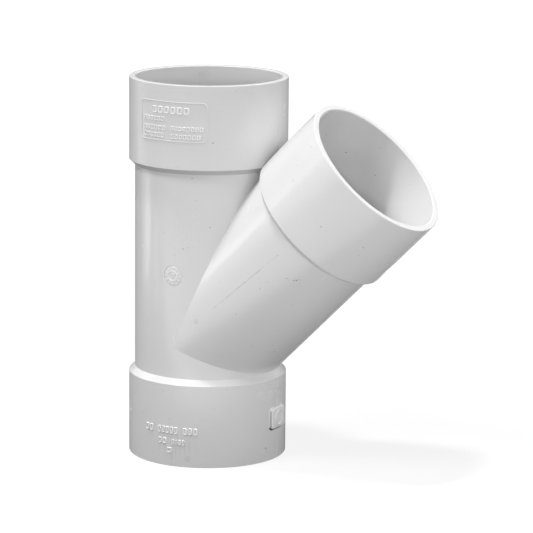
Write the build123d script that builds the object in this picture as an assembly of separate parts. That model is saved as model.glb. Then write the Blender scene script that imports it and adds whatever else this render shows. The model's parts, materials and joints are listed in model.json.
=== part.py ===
from build123d import *
import math
import os

# Forty-five degree branch fitting for 65 mm drain pipe, moulded in one piece.
# The straight run stands on its lower mouth along +Z, and the branch leaves it
# towards +X and +Z. The origin is the centre of the lower mouth.

# Driving dimensions, in millimetres and degrees

# The pipe that is glued into each socket
pipe_outside_diameter = 68.9
pipe_clearance = 0.5

# Sockets: how far the pipe goes in, and the edges of the mouth
socket_depth = 38.0
socket_wall = 3.1
mouth_lead_in = 0.45
mouth_edge_chamfer = 0.35

# Collars: the thicker stretch round each socket, and its slope down to the tube
collar_past_root = 1.5
collar_slope_length = 2.6
collar_step = 2.8
collar_corner_radius = 0.4

# Tubes between the sockets, the same for run and branch
tube_wall = 3.5

# Junction: the angle, how far each socket's root stands back from the point
# where the two bores would meet in the crotch, and the straight bit of tube
# between the branch's heel and the lower collar
branch_angle = 45.0
socket_root_setback = 3.2
heel_land = 0.4

# Marking plaque, a raised outline on the front of the upper collar
plaque_width = 35.0
plaque_height = 18.8
plaque_corner_radius = 2.3
plaque_line_width = 0.6
plaque_line_height = 0.3
plaque_from_mouth = 17.2

# Mould date dial, a ring groove on the front of the run
dial_diameter = 10.0
dial_groove_width = 0.5
dial_groove_depth = 0.2
dial_above_junction = 34.3

# Gate pad, a flat block under the branch on the lower collar
gate_pad_width = 12.6
gate_pad_height = 10.0
gate_pad_proud = 1.0
gate_pad_corner_radius = 1.6
gate_pad_edge_chamfer = 0.3
gate_pad_from_mouth = 20.2
gate_ring_diameter = 7.6
gate_ring_width = 0.6
gate_ring_height = 0.25

# Trimming scar, a slanting cut low on the back of the branch collar
trim_scar_length = 8.0
trim_scar_depth = 0.8
trim_scar_from_mouth = 27.0
trim_scar_angle = 11.0

# How far a cut runs past the surface that it leaves through
cut_overrun = 2.0

# Sizes that follow from the ones above
socket_radius = (pipe_outside_diameter + pipe_clearance) / 2
collar_radius = socket_radius + socket_wall
tube_radius = collar_radius - collar_step
waterway_radius = tube_radius - tube_wall
collar_length = socket_depth + collar_past_root
half_angle = math.radians(branch_angle / 2)
upper_leg = socket_radius / math.tan(half_angle) + socket_root_setback + socket_depth
branch_leg = upper_leg
lower_leg = tube_radius * math.tan(half_angle) + heel_land + collar_slope_length + collar_length
overall_height = lower_leg + upper_leg


def along_branch(shape):
    """Turn a shape built on +Z from the origin onto the branch axis."""
    return Pos(0, 0, lower_leg) * Rot(0, branch_angle, 0) * shape


def revolved(points):
    """Spin a closed outline of (radius, height) points about the Z axis."""
    outline = Polyline([(radius, 0, height) for radius, height in points], close=True)
    return revolve(make_face(outline), axis=Axis.Z)


def collar_circles(shape, heights):
    """The round edges of the collar's radius at the given heights."""
    found = []
    for edge in shape.edges().filter_by(GeomType.CIRCLE):
        off = min(abs(edge.arc_center.Z - height) for height in heights)
        if off < 1e-4 and abs(edge.radius - collar_radius) < 1e-4:
            found.append(edge)
    return found


def run_outside():
    """The upright tube with a collar at each end, before it is hollowed."""
    top = overall_height
    corner_heights = [collar_length, top - collar_length]
    body = revolved([
        (0, 0),
        (collar_radius, 0),
        (collar_radius, collar_length),
        (tube_radius, collar_length + collar_slope_length),
        (tube_radius, top - collar_length - collar_slope_length),
        (collar_radius, top - collar_length),
        (collar_radius, top),
        (0, top),
    ])
    body = fillet(collar_circles(body, corner_heights), collar_corner_radius)
    return chamfer(collar_circles(body, [0, top]), mouth_edge_chamfer)


def branch_outside():
    """The slanting tube and its collar, from the junction to the mouth."""
    body = revolved([
        (0, 0),
        (tube_radius, 0),
        (tube_radius, branch_leg - collar_length - collar_slope_length),
        (collar_radius, branch_leg - collar_length),
        (collar_radius, branch_leg),
        (0, branch_leg),
    ])
    body = fillet(collar_circles(body, [branch_leg - collar_length]), collar_corner_radius)
    return chamfer(collar_circles(body, [branch_leg]), mouth_edge_chamfer)


def run_hollow():
    """The space inside the run: two sockets joined by the waterway."""
    top = overall_height
    flare = mouth_lead_in + cut_overrun
    return revolved([
        (0, -cut_overrun),
        (socket_radius + flare, -cut_overrun),
        (socket_radius, mouth_lead_in),
        (socket_radius, socket_depth),
        (waterway_radius, socket_depth),
        (waterway_radius, top - socket_depth),
        (socket_radius, top - socket_depth),
        (socket_radius, top - mouth_lead_in),
        (socket_radius + flare, top + cut_overrun),
        (0, top + cut_overrun),
    ])


def branch_hollow():
    """The space inside the branch, from the junction out of its mouth."""
    flare = mouth_lead_in + cut_overrun
    return revolved([
        (0, 0),
        (waterway_radius, 0),
        (waterway_radius, branch_leg - socket_depth),
        (socket_radius, branch_leg - socket_depth),
        (socket_radius, branch_leg - mouth_lead_in),
        (socket_radius + flare, branch_leg + cut_overrun),
        (0, branch_leg + cut_overrun),
    ])


def front_prism(sketch, height, reach):
    """A flat outline at one height, run from the axis out along -Y."""
    front = Plane(origin=(0, 0, height), x_dir=(1, 0, 0), z_dir=(0, -1, 0))
    return extrude(front * sketch, amount=reach)


def ring_sketch(diameter, width):
    """A flat ring with the given outside diameter."""
    return Circle(diameter / 2) - Circle(diameter / 2 - width)


def plaque_outline():
    """The raised line around the bare marking plaque."""
    height = overall_height - plaque_from_mouth
    outer = RectangleRounded(plaque_width, plaque_height, plaque_corner_radius)
    inner = RectangleRounded(
        plaque_width - 2 * plaque_line_width,
        plaque_height - 2 * plaque_line_width,
        plaque_corner_radius - plaque_line_width,
    )
    frame = front_prism(outer - inner, height, collar_radius + cut_overrun)
    limit = Pos(0, 0, height) * Cylinder(collar_radius + plaque_line_height, 2 * plaque_height)
    return frame & limit


def dial_groove():
    """The ring that is cut round the mould date dial."""
    height = lower_leg + dial_above_junction
    ring = ring_sketch(dial_diameter, dial_groove_width)
    cutter = front_prism(ring, height, tube_radius + cut_overrun)
    kept = Pos(0, 0, height) * Cylinder(tube_radius - dial_groove_depth, 2 * dial_diameter)
    return cutter - kept


def gate_pad():
    """The flat pad left by the injection gate, with the ring of the gate on it."""
    face = collar_radius + gate_pad_proud
    axis_plane = Plane(origin=(0, 0, gate_pad_from_mouth), x_dir=(0, 1, 0), z_dir=(1, 0, 0))
    outline = RectangleRounded(gate_pad_width, gate_pad_height, gate_pad_corner_radius)
    pad = extrude(axis_plane * outline, amount=face)
    pad = chamfer(pad.faces().sort_by(Axis.X)[-1].edges(), gate_pad_edge_chamfer)
    ring = ring_sketch(gate_ring_diameter, gate_ring_width)
    return pad + Pos(face, 0, 0) * extrude(axis_plane * ring, amount=gate_ring_height)


def trim_scar():
    """A slanting slice off the branch collar, deepest at its end by the tube."""
    tilt = math.degrees(math.atan2(trim_scar_depth, trim_scar_length))
    slope = trim_scar_length / math.cos(math.radians(tilt))
    slice_box = Pos(collar_radius / 2, 0, slope / 2) * Box(collar_radius, 2 * collar_radius, slope)
    start = branch_leg - trim_scar_from_mouth - trim_scar_length
    place = Rot(0, 0, trim_scar_angle) * Pos(collar_radius - trim_scar_depth, 0, start)
    return along_branch(place * Rot(0, tilt, 0) * slice_box)


def branch_fitting():
    """The whole moulding: outside forms joined, then hollowed in one cut."""
    outside = run_outside() + along_branch(branch_outside())
    outside = outside + plaque_outline() + gate_pad()
    outside = outside - dial_groove() - trim_scar()
    hollow = run_hollow() + along_branch(branch_hollow())
    return outside - hollow


fitting = branch_fitting()
os.makedirs("parts", exist_ok=True)
export_step(fitting, "parts/branch_fitting.step")
print("legs", round(lower_leg, 3), round(upper_leg, 3), round(branch_leg, 3))
print("branch_fitting", len(fitting.solids()), "solid", round(fitting.volume / 1000, 2), "cm3")
print("size", fitting.bounding_box().size)
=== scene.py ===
# %% [markdown]
# # A forty-five degree branch fitting in moulded plastic
#
# The real thing joins three drain pipes. It is one injection moulding: an upright run with a thick
# collar round the socket at each end, and a branch of the same bore that leans out at 45 degrees. The
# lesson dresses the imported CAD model. The frame comes first, because it holds the true size and place
# of everything.

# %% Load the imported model
import json
import math
import random

import bmesh
import bpy
from mathutils import Matrix, Vector


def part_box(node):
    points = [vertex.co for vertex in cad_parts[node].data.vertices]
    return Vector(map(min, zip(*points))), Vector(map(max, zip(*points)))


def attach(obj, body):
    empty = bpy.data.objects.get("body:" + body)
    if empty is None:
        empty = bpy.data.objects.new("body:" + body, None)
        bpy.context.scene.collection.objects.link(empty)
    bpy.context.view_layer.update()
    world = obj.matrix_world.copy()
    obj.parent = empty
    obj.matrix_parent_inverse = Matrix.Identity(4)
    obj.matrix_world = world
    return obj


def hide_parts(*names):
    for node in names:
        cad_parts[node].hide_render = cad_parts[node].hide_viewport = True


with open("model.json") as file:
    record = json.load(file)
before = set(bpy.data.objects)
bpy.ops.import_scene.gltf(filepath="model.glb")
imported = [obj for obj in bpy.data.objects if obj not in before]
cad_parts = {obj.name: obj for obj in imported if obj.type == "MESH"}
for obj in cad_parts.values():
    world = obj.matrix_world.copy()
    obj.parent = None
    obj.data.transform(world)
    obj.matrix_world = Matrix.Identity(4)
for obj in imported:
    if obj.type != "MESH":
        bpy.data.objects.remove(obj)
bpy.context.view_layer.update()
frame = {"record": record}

# %% [markdown]
# ## Sizes of the moulding
#
# A pipe fitter knows this part by its socket bore and by where its axes cross. Both are in the packed
# record as mounts, so they are read from there, and only the sizes that no mount states are written
# here, in metres. The branch is as long as the upper leg, so the two mirror each other.

# %% Read the sockets and name the other sizes
MM = 0.001
mounts = {mount["name"]: mount for mount in frame["record"]["mounts"]}
branch_mount = mounts["branch_socket"]
branch_axis = Vector(branch_mount["axis"]).normalized()
branch_point = Vector(branch_mount["pos_m"])

socket_wall = 3.1 * MM
collar_step = 2.8 * MM
tube_wall = 3.5 * MM
socket_depth = 38.0 * MM
collar_past_root = 1.5 * MM
slope_length = 2.6 * MM

socket_radius = branch_mount["dims"]["r_mm"] * MM
collar_radius = socket_radius + socket_wall
tube_radius = collar_radius - collar_step
waterway_radius = tube_radius - tube_wall
collar_length = socket_depth + collar_past_root

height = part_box("branch_fitting")[1].z
junction_height = branch_point.z - branch_point.x * branch_axis.z / branch_axis.x
branch_angle = math.atan2(branch_axis.x, branch_axis.z)
upper_leg = height - junction_height
lower_leg = junction_height
junction = Vector((0, 0, junction_height))
print("junction", round(junction_height, 5), "upper leg", round(upper_leg, 5))
print("branch angle", round(math.degrees(branch_angle), 3))

# %% [markdown]
# ## The camera
#
# The photo was taken from the right and a little above, with a long lens from well back, so the
# upright edges stay almost parallel. The camera is set by the angles that a photographer would give:
# how far round, how far down, how much it leans, and the point that it looks at.

# %% Place the camera
CAMERA_ROUND = math.radians(27.2257)
CAMERA_DOWN = math.radians(11.5986)
CAMERA_LEAN = math.radians(0.5192)
CAMERA_DISTANCE = 1.4236
CAMERA_AIM = Vector((0.024762, 0.012986, 0.089819))
CAMERA_LENS = 200.734

turn_round = Matrix.Rotation(CAMERA_ROUND, 4, "Z")
tip_down = Matrix.Rotation(math.radians(90) - CAMERA_DOWN, 4, "X")
lean = Matrix.Rotation(CAMERA_LEAN, 4, "Z")
back_off = Matrix.Translation((0, 0, CAMERA_DISTANCE))


def add_object(name, data):
    """Puts a new object with this data into the scene."""
    made = bpy.data.objects.new(name, data)
    bpy.context.scene.collection.objects.link(made)
    return made


camera = add_object("camera", bpy.data.cameras.new("camera"))
camera.matrix_world = Matrix.Translation(CAMERA_AIM) @ turn_round @ tip_down @ lean @ back_off
camera.data.lens = CAMERA_LENS
camera.data.sensor_width = 36.0
camera.data.clip_end = 50.0
bpy.context.scene.camera = camera
print("camera at", tuple(round(v, 4) for v in camera.matrix_world.translation))

# %% [markdown]
# ## One leg's outline
#
# Every leg is a turned shape, so all that it needs is half of its section: up the outside of the tube,
# over the collar, round the rim, down the socket to its stop and back along the waterway. A moulding
# has no dead sharp edges, so each corner carries a small rounding. The outline also keeps the way that
# the surface faces at every point, which later makes gloss run as clean as on a solid.

# %% Round the corners of an outline
ROUNDING_STEPS = 4
PAST_JUNCTION = 5 * MM
LEAD_IN = 0.45 * MM
TUBE_ROUNDING = 0.3 * MM
COLLAR_ROUNDING = 0.4 * MM
RIM_ROUNDING = 0.35 * MM
MOUTH_ROUNDING = 0.12 * MM
SOCKET_ROUNDING = 0.3 * MM
ROOT_ROUNDING = 0.15 * MM
STOP_ROUNDING = 0.3 * MM


def rounded_outline(corners):
    """Corners are (radius, along, rounding). Returns points and the way the surface faces there."""
    points = []
    for before, corner, after in zip(corners, corners[1:], corners[2:]):
        here = Vector(corner[:2])
        came = (here - Vector(before[:2])).normalized()
        goes = (Vector(after[:2]) - here).normalized()
        turn = came.angle_signed(goes)
        bulge = -1 if turn > 0 else 1
        tangent = corner[2] * math.tan(abs(turn) / 2)
        facing = Vector((came.y, -came.x))
        centre = here - came * tangent - facing * corner[2] * bulge
        for step in range(ROUNDING_STEPS + 1):
            turned = facing.copy()
            turned.rotate(Matrix.Rotation(-turn * step / ROUNDING_STEPS, 2))
            points.append((centre + turned * corner[2] * bulge, turned))
    first = Vector(corners[0][:2])
    last = Vector(corners[-1][:2])
    return [(first, points[0][1]), *points, (last, points[-1][1])]


def leg_outline(length):
    """The section of one leg, from the junction out to its mouth and back inside."""
    shoulder = length - collar_length
    return rounded_outline([
        (tube_radius, -PAST_JUNCTION, 0),
        (tube_radius, shoulder - slope_length, TUBE_ROUNDING),
        (collar_radius, shoulder, COLLAR_ROUNDING),
        (collar_radius, length, RIM_ROUNDING),
        (socket_radius + LEAD_IN, length, MOUTH_ROUNDING),
        (socket_radius, length - LEAD_IN, SOCKET_ROUNDING),
        (socket_radius, length - socket_depth, ROOT_ROUNDING),
        (waterway_radius, length - socket_depth, STOP_ROUNDING),
        (waterway_radius, -PAST_JUNCTION, 0),
    ])


outline = leg_outline(upper_leg)
print("points in the upper leg's outline", len(outline))

# %% [markdown]
# ## Turn and mitre
#
# The body could be made with booleans on three cylinders. But two tubes of one radius cross in flat
# planes, as mitred duct does. So each leg is turned about its own axis, and then trimmed by the two
# planes that halve the angles to its neighbours.

# %% Turn a leg and trim it
TURN_STEPS = 288
FACING = "facing"
CUT_TOLERANCE = 1e-7


def leg_place(angle, turn=0.0):
    """Takes a drawing on +Z to the leg that leaves the junction at this angle from upright."""
    turned = Matrix.Rotation(angle, 4, "Y") @ Matrix.Rotation(turn, 4, "Z")
    return Matrix.Translation(junction) @ turned


def turned_leg(outline, place):
    """Spins an outline about its axis and moves it, keeping the way each point faces."""
    leg = bmesh.new()
    facing_layer = leg.loops.layers.float_vector.new(FACING)
    rings = []
    for step in range(TURN_STEPS):
        angle = math.tau * step / TURN_STEPS
        across = Vector((math.cos(angle), math.sin(angle), 0))
        up = Vector((0, 0, 1))
        rings.append([
            (leg.verts.new(place @ (across * point.x + up * point.y)),
             place.to_3x3() @ (across * facing.x + up * facing.y))
            for point, facing in outline
        ])
    for here, there in zip(rings, rings[1:] + rings[:1]):
        for index in range(len(outline) - 1):
            corners = (here[index], there[index], there[index + 1], here[index + 1])
            face = leg.faces.new([vert for vert, facing in corners])
            for loop, (vert, facing) in zip(face.loops, corners):
                loop[facing_layer] = facing
    return leg


def trim(leg, angle, keep_above):
    """Cuts away what lies past the plane through the junction at this angle from upright."""
    away = Vector((math.cos(angle), 0, -math.sin(angle)))
    bmesh.ops.bisect_plane(
        leg, geom=[*leg.verts, *leg.edges, *leg.faces], dist=CUT_TOLERANCE,
        plane_co=junction, plane_no=away, clear_inner=keep_above, clear_outer=not keep_above,
    )


print("faces round a leg", TURN_STEPS)

# %% [markdown]
# ## Three legs, welded
#
# One plane halves the angle in the crotch, one halves the angle under the branch, and the third lies
# level through the junction. The legs have as many points round them as each other, so they meet point
# for point and are merged there. The creases come out exact, inside and out.

# %% Weld the three legs
WELD_DISTANCE = 0.002 * MM
crotch_angle = branch_angle / 2
heel_angle = (branch_angle + math.pi) / 2
legs = {
    "upper": (0.0, upper_leg, -math.pi / 2, crotch_angle),
    "branch": (branch_angle, upper_leg, crotch_angle, heel_angle),
    "lower": (math.pi, lower_leg, heel_angle, math.pi * 3 / 2),
}

body = bmesh.new()
body.loops.layers.float_vector.new(FACING)
for name, (angle, length, from_angle, to_angle) in legs.items():
    leg = turned_leg(leg_outline(length), leg_place(angle))
    trim(leg, from_angle, keep_above=True)
    trim(leg, to_angle, keep_above=False)
    leg_mesh = bpy.data.meshes.new(name)
    leg.to_mesh(leg_mesh)
    leg.free()
    body.from_mesh(leg_mesh)
    bpy.data.meshes.remove(leg_mesh)
bmesh.ops.remove_doubles(body, verts=body.verts, dist=WELD_DISTANCE)
open_edges = sum(1 for edge in body.edges if len(edge.link_faces) != 2)
print("body faces", len(body.faces), "edges not closed", open_edges)

fitting = add_object("fitting_body", bpy.data.meshes.new("fitting_body"))
body.to_mesh(fitting.data)
body.free()

# %% [markdown]
# ## Flat drawings on round walls
#
# The mould's engraving tool draws flat and goes straight in. So each mark starts as a flat drawing, in
# points across and up, and a landing function says where such a point meets the moulding. On the front
# that is straight back along Y, onto the round wall.

# %% Flat drawings and where they land
def on_front(radius, x, z, lift):
    """A flat drawing pushed back along +Y until it meets the front of an upright round wall."""
    reach = radius + lift
    return Vector((x, -math.sqrt(reach * reach - x * x), z))


def arc_path(centre, radius, start, turn, steps):
    """Part of a circle, as (across, up) points, with both ends."""
    path = []
    for step in range(steps + 1):
        angle = start + turn * step / steps
        path.append((centre[0] + radius * math.cos(angle), centre[1] + radius * math.sin(angle)))
    return path


def circle_path(centre, radius, steps=48):
    """A whole circle, which doesn't come back to its first point."""
    return arc_path(centre, radius, 0.0, math.tau, steps)[:-1]


def box_path(centre, width, height, corner, steps):
    """The outline of a box with rounded corners."""
    path = []
    for quarter, (side, top) in enumerate([(1, 1), (-1, 1), (-1, -1), (1, -1)]):
        across = centre[0] + side * (width / 2 - corner)
        up = centre[1] + top * (height / 2 - corner)
        path += arc_path((across, up), corner, quarter * math.pi / 2, math.pi / 2, steps)
    return path


def join_rings(mesh, here, there):
    """Makes a band of faces between two closed rings of points, and hands the faces back."""
    band = []
    for index in range(len(here)):
        after = (index + 1) % len(here)
        band.append(mesh.faces.new((here[index], here[after], there[after], there[index])))
    return band


front_point = on_front(tube_radius, 0.0, junction_height, 0.0)
print("front of the run", tuple(round(v, 4) for v in front_point))

# %% [markdown]
# ## Three cuts, and first the trimming scar
#
# After moulding, somebody sliced the last of a sprue off the branch collar and took a sliver of the
# wall along. The date dial and a proud pin left a groove and a dimple. All three are cuts into a
# finished wall, which is what a boolean difference is for. The scar's cutter is a leaning box, so that
# the cut deepens toward the tube.

# %% The scar's cutter
SCAR_LENGTH = 8.0 * MM
SCAR_DEPTH = 0.8 * MM
SCAR_FROM_MOUTH = 27.0 * MM
SCAR_ROUND = math.radians(11.0)
SCAR_BLOCK = (10 * MM, 40 * MM)


def scar_cutter():
    """A slanting block whose lower face is the slice."""
    tilt = math.atan2(SCAR_DEPTH, SCAR_LENGTH)
    start = Vector((collar_radius - SCAR_DEPTH, 0, upper_leg - SCAR_FROM_MOUTH - SCAR_LENGTH))
    size = Vector((*SCAR_BLOCK, SCAR_LENGTH / math.cos(tilt)))
    slice_place = Matrix.Translation(start) @ Matrix.Rotation(tilt, 4, "Y")
    block = Matrix.Translation((size.x / 2, 0, size.z / 2)) @ Matrix.Diagonal((*size, 1))
    cutter = bmesh.new()
    place = leg_place(branch_angle, SCAR_ROUND) @ slice_place @ block
    bmesh.ops.create_cube(cutter, size=1.0, matrix=place)
    return cutter


print("scar depth in mm", round(SCAR_DEPTH / MM, 2))

# %% [markdown]
# ## The dial's groove
#
# The date dial is a separate pin in the mould, so a fine groove runs round it. A square groove half a
# millimetre wide is too narrow to shade. So the cutter is a ring with a V below, which turns one bank
# to the light and the other away from it.

# %% The groove's cutter
DIAL_HEIGHT = junction_height + 34.3 * MM
DIAL_RADIUS = 5.0 * MM
DIAL_STEPS = 96
GROOVE_WIDTH = 0.5 * MM
GROOVE_DEPTH = 0.3 * MM
VALLEY_SECTION = [(-0.9, 0.4), (-0.9, 0.0), (-0.1, -1.0), (0.5, 0.0), (0.5, 0.4)]


def groove_cutter():
    """A ring with a V below it, whose point lies under the tube's surface."""
    cutter = bmesh.new()
    middle = DIAL_RADIUS - GROOVE_WIDTH / 2
    section = [(middle + share * GROOVE_WIDTH, lift * GROOVE_DEPTH) for share, lift in VALLEY_SECTION]
    rings = []
    for x, z in circle_path((0, 0), 1.0, DIAL_STEPS):
        rings.append([
            cutter.verts.new(on_front(tube_radius, x * reach, DIAL_HEIGHT + z * reach, lift))
            for reach, lift in section
        ])
    for here, there in zip(rings, rings[1:] + rings[:1]):
        join_rings(cutter, here, there)
    bmesh.ops.recalc_face_normals(cutter, faces=cutter.faces)
    return cutter


print("groove depth in mm", round(GROOVE_DEPTH / MM, 2))

# %% [markdown]
# ## The dimple, and the cutting itself
#
# A pin that stood a little proud left a shallow dimple over the gate pad, which a short blunt cone
# cuts. The exact solver copes with a cutter that grazes a curved wall, where the fast one leaves gaps.
# The result is taken from the evaluated mesh, so that no modifier stays behind.

# %% The dimple's cutter, and the three cuts
DIMPLE_SPOT = (0.86 * MM, 32.5 * MM)
DIMPLE_RADIUS = 1.8 * MM
DIMPLE_DEPTH = 0.4 * MM
DIMPLE_TAPER = 0.3 * MM
DIMPLE_FLARE = 0.9 * MM
PLUG_LENGTH = 2 * MM
PLUG_STEPS = 48


def dimple_cutter():
    """A short plug that leaves a round dimple over the gate pad."""
    cutter = bmesh.new()
    middle = Vector((collar_radius - DIMPLE_DEPTH + PLUG_LENGTH / 2, *DIMPLE_SPOT))
    place = Matrix.Translation(middle) @ Matrix.Rotation(math.pi / 2, 4, "Y")
    bmesh.ops.create_cone(
        cutter, cap_ends=True, segments=PLUG_STEPS, radius1=DIMPLE_RADIUS - DIMPLE_TAPER,
        radius2=DIMPLE_RADIUS + DIMPLE_FLARE, depth=PLUG_LENGTH, matrix=place,
    )
    return cutter


cutters = {"scar": scar_cutter(), "groove": groove_cutter(), "dimple": dimple_cutter()}
for name, cutter_mesh in cutters.items():
    cutter = add_object(name, bpy.data.meshes.new(name))
    cutter_mesh.to_mesh(cutter.data)
    cutter_mesh.free()
    cut = fitting.modifiers.new(name, "BOOLEAN")
    cut.operation = "DIFFERENCE"
    cut.solver = "EXACT"
    cut.object = cutter
    evaluated = fitting.evaluated_get(bpy.context.evaluated_depsgraph_get())
    cut_mesh = bpy.data.meshes.new_from_object(evaluated)
    fitting.modifiers.remove(cut)
    old_mesh = fitting.data
    fitting.data = cut_mesh
    bpy.data.meshes.remove(old_mesh)
    bpy.data.objects.remove(cutter)
    print(name, "cut, body faces now", len(fitting.data.polygons))
fitting.data.name = "fitting_body"

# %% [markdown]
# ## Shading normals
#
# A mesh is flat facets, and Blender guesses how light should bend over them. The guess goes wrong
# beside a crease or a cut. The turned faces already know the way that the real wall faces, so that is
# handed over as custom normals. Faces that the cuts made have none and stay flat.

# %% Set the shading normals
KNOWN_LENGTH = 0.5
facings = [item.vector.copy() for item in fitting.data.attributes[FACING].data]
unknown = 0
for polygon in fitting.data.polygons:
    polygon.use_smooth = True
    for loop_index in polygon.loop_indices:
        if facings[loop_index].length < KNOWN_LENGTH:
            facings[loop_index] = polygon.normal.copy()
            unknown += 1
        facings[loop_index].normalize()
fitting.data.normals_split_custom_set(facings)
print("corners", len(facings), "of which the cuts made", unknown)

# %% [markdown]
# ## Ridges, for everything that stands proud
#
# The small marks are all lines of one kind: a low rounded ridge that follows a path. Modelled one by
# one they wouldn't match. So one helper sweeps the same section along any drawing, open or closed, and
# another turns the mesh into a piece that is smooth but for its real corners.

# %% A ridge that follows a path
RIDGE_HALF = [(-1.0, -0.5), (-0.9, 0.3), (-0.65, 0.8), (-0.3, 1.0)]
RIDGE = RIDGE_HALF + [(-across, lift) for across, lift in reversed(RIDGE_HALF)]
print("points in the ridge's section", len(RIDGE))


def add_bead(mesh, path, width, rise, land, closed=True):
    """Sweeps a ridge along a path. land(across, up, lift) gives the place of a drawn point."""
    count = len(path)
    sections = []
    for index, (across, up) in enumerate(path):
        before = path[index - 1] if closed or index > 0 else path[0]
        after = path[(index + 1) % count] if closed or index < count - 1 else path[-1]
        along = (Vector(after) - Vector(before)).normalized()
        side = Vector((along.y, -along.x))
        sections.append([
            mesh.verts.new(land(across + side.x * t, up + side.y * t, lift * rise))
            for t, lift in [(share * width / 2, lift) for share, lift in RIDGE]
        ])
    spans = list(zip(sections, sections[1:]))
    if closed:
        spans.append((sections[-1], sections[0]))
    for here, there in spans:
        join_rings(mesh, here, there)
    if not closed:
        mesh.faces.new(reversed(sections[0]))
        mesh.faces.new(sections[-1])


SHARP_ANGLE = math.radians(50)
all_pieces = [fitting]


def make_piece(mesh, name):
    """Turns a bmesh into an object that is smooth but for its real corners."""
    bmesh.ops.recalc_face_normals(mesh, faces=mesh.faces)
    for face in mesh.faces:
        face.smooth = True
    for edge in mesh.edges:
        edge.smooth = edge.calc_face_angle(0) < SHARP_ANGLE
    data = bpy.data.meshes.new(name)
    mesh.to_mesh(data)
    mesh.free()
    all_pieces.append(add_object(name, data))
    print(name, "faces", len(data.polygons))

# %% [markdown]
# ## The marking plaque and its blank boxes
#
# A raised line frames a plaque on the upper collar. What such a plaque says differs from maker to
# maker, so here it holds rows of empty boxes, like those that a mould leaves for a date. They have the
# height, stroke and spacing of moulded characters, and say nothing.

# %% Plaque and boxes
PLAQUE_CENTRE = (0.0, height - 17.2 * MM)
PLAQUE_SIZE = (35.0 * MM, 18.8 * MM)
PLAQUE_CORNER = 2.3 * MM
PLAQUE_LINE = 0.5 * MM
PLAQUE_RISE = 0.24 * MM
BOX_RISE = 0.42 * MM
BOX_SHARE = 0.74
BOX_ROUNDING = 0.35
CORNER_STEPS = 8
SPAN = 1.0 * MM
PLAQUE_ROWS = [
    (-10.4, 9.9, 3.6, 6.9, 6, 0.62),
    (-15.6, -3.2, 0.0, 2.0, 6, 0.4),
    (-15.6, -2.6, -4.3, -2.2, 6, 0.4),
    (-15.6, -3.2, -7.8, -5.6, 6, 0.4),
    (0.0, 16.0, -4.1, -2.1, 8, 0.4),
    (0.0, 14.8, -7.9, -5.8, 7, 0.4),
]
SIZE_ROWS = [
    (-14.2, -9.1, 15.8, 19.2, 2, 0.62),
    (-6.7, 4.6, 15.7, 19.2, 5, 0.62),
    (6.8, 14.0, 15.8, 19.2, 3, 0.62),
    (-6.4, -1.2, 10.6, 13.5, 2, 0.6),
    (1.0, 8.1, 10.5, 13.1, 4, 0.5),
    (-1.7, 1.8, 6.5, 9.0, 1, 0.5),
]


def on_collar(across, up, lift):
    return on_front(collar_radius, across, up, lift)


def divided(path):
    """Adds points to a closed path, so that no span is longer than SPAN."""
    finer = []
    for here, there in zip(path, path[1:] + path[:1]):
        spans = max(1, math.ceil((Vector(there) - Vector(here)).length / SPAN))
        for step in range(spans):
            share = step / spans
            finer.append(tuple(Vector(here).lerp(Vector(there), share)))
    return finer


plaque = bmesh.new()
line_size = [side - PLAQUE_LINE for side in PLAQUE_SIZE]
line_path = box_path(PLAQUE_CENTRE, *line_size, PLAQUE_CORNER - PLAQUE_LINE / 2, CORNER_STEPS)
add_bead(plaque, divided(line_path), PLAQUE_LINE, PLAQUE_RISE, on_collar)
make_piece(plaque, "plaque_line")


def make_boxes(name, rows, base):
    """Rows of blank boxes as (left, right, low, high, count, stroke), all in millimetres."""
    mesh = bmesh.new()
    for left, right, low, high, count, stroke in rows:
        pitch = (right - left) / count
        middle = (low + base + high + base) / 2
        size = ((pitch * BOX_SHARE - stroke) * MM, (high - low - stroke) * MM)
        for index in range(count):
            centre = ((left + pitch * (index + 0.5)) * MM, middle * MM)
            path = box_path(centre, *size, BOX_ROUNDING * stroke * MM, steps=2)
            add_bead(mesh, path, stroke * MM, BOX_RISE, on_collar)
    make_piece(mesh, name)


make_boxes("plaque_boxes", PLAQUE_ROWS, PLAQUE_CENTRE[1] / MM)
make_boxes("size_boxes", SIZE_ROWS, 0.0)

# %% [markdown]
# ## The date dial
#
# The pin in the mould carries the numbers of the months and an arrow that a setter turns. They are the
# one piece of lettering here, because every maker's dial has the same ones. The numbers are text
# objects, turned into a mesh and pushed back onto the tube like the other marks.

# %% Months and arrow
MONTH_HEIGHT = 1.25 * MM
MONTH_RING = 3.55 * MM
MARK_RISE = 0.2 * MM
MARK_ROOT = -0.1 * MM
DIGIT_SHARE = 0.7


def text_mesh(words, size, rise):
    """A mesh of some words, lying flat, centred on the origin."""
    curve = bpy.data.curves.new("words", "FONT")
    curve.body = words
    curve.size = size / DIGIT_SHARE
    curve.align_x = "CENTER"
    curve.align_y = "CENTER"
    curve.extrude = rise
    curve.resolution_u = 3
    holder = add_object("words", curve)
    evaluated = holder.evaluated_get(bpy.context.evaluated_depsgraph_get())
    made = bpy.data.meshes.new_from_object(evaluated)
    bpy.data.objects.remove(holder)
    bpy.data.curves.remove(curve)
    return made


def on_dial(across, up, lift):
    return on_front(tube_radius, across, up + DIAL_HEIGHT, lift)


dial = bmesh.new()
for month in range(1, 13):
    turn = math.tau * month / 12
    centre = Vector((MONTH_RING * math.sin(turn), MONTH_RING * math.cos(turn)))
    digits = text_mesh(str(month), MONTH_HEIGHT, (MARK_RISE - MARK_ROOT) / 2)
    lean_back = Matrix.Rotation(-turn, 2)
    start = len(dial.verts)
    dial.from_mesh(digits)
    dial.verts.ensure_lookup_table()
    for vert in dial.verts[start:]:
        flat = lean_back @ vert.co.to_2d() + centre
        vert.co = on_dial(*flat, MARK_RISE if vert.co.z > 0 else MARK_ROOT)
    bpy.data.meshes.remove(digits)

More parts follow.
